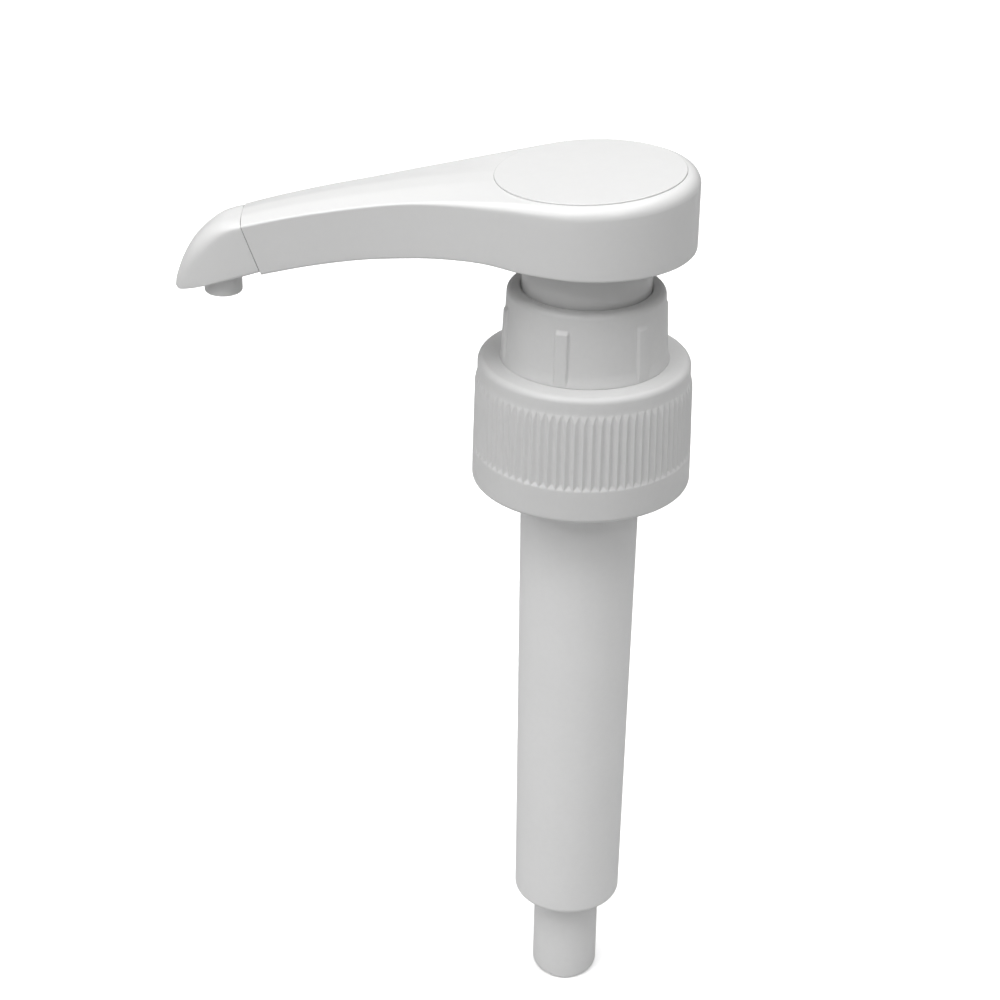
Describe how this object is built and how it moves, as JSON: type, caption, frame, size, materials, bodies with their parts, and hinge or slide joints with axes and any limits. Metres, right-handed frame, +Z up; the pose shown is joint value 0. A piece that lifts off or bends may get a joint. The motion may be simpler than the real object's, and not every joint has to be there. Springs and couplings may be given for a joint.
{
  "type": "condiment pump dispenser",
  "caption": "Screw-on hand pump for condiments: saddle head with a long down-turned spout, ribbed lock collar, fluted cap, long barrel and short intake tube.",
  "frame": {"origin": "middle of the gasket's underside, which rests on the bottle's rim", "axes": "+Z up along the pump's axis, spout along -X"},
  "size_m": [0.0995, 0.043, 0.1836],
  "materials": {
    "white_gloss": "glossy moulded polypropylene",
    "white_satin": "satin moulded polypropylene",
    "natural_pp": "satin moulded polypropylene, slightly milky",
    "stem_white": "smooth moulded polypropylene",
    "seal_pe": "soft low-density polyethylene",
    "gasket_foam": "closed-cell polyethylene foam",
    "spring_steel": "drawn stainless wire",
    "ball_steel": "polished stainless ball"
  },
  "bodies": {
    "pump_body": {"pump_housing": "natural_pp", "lock_collar": "white_satin", "stem_guide": "natural_pp", "stem_wiper": "seal_pe", "rim_gasket": "gasket_foam", "ball_cage": "natural_pp", "dip_tube": "natural_pp", "return_spring": "spring_steel"},
    "closure": {"closure_cap": "white_satin"},
    "plunger": {"piston_core": "natural_pp", "piston_seal": "seal_pe"},
    "actuator": {"actuator_head": "white_gloss", "head_cover_disc": "white_gloss", "spout_tip": "white_gloss", "piston_stem": "stem_white", "outlet_valve_seat": "natural_pp"},
    "outlet_check": {"outlet_ball": "ball_steel"},
    "inlet_check": {"inlet_ball": "ball_steel"}
  },
  "joints": [
    {"name": "closure_turn", "type": "hinge", "parent": "pump_body", "child": "closure", "pos_m": [0, 0, 0], "axis": [0, 0, 1], "continuous": true},
    {"name": "plunger_stroke", "type": "slide", "parent": "pump_body", "child": "plunger", "axis": [0, 0, 1], "range_m": [0, 0.075], "deforming": ["return_spring"]},
    {"name": "head_turn", "type": "hinge", "parent": "plunger", "child": "actuator", "pos_m": [0, 0, 0], "axis": [0, 0, 1], "continuous": true},
    {"name": "outlet_ball_lift", "type": "slide", "parent": "actuator", "child": "outlet_check", "axis": [0, 0, 1], "range_m": [0, 0.003]},
    {"name": "inlet_ball_lift", "type": "slide", "parent": "pump_body", "child": "inlet_check", "axis": [0, 0, 1], "range_m": [0, 0.004]}
  ]
}
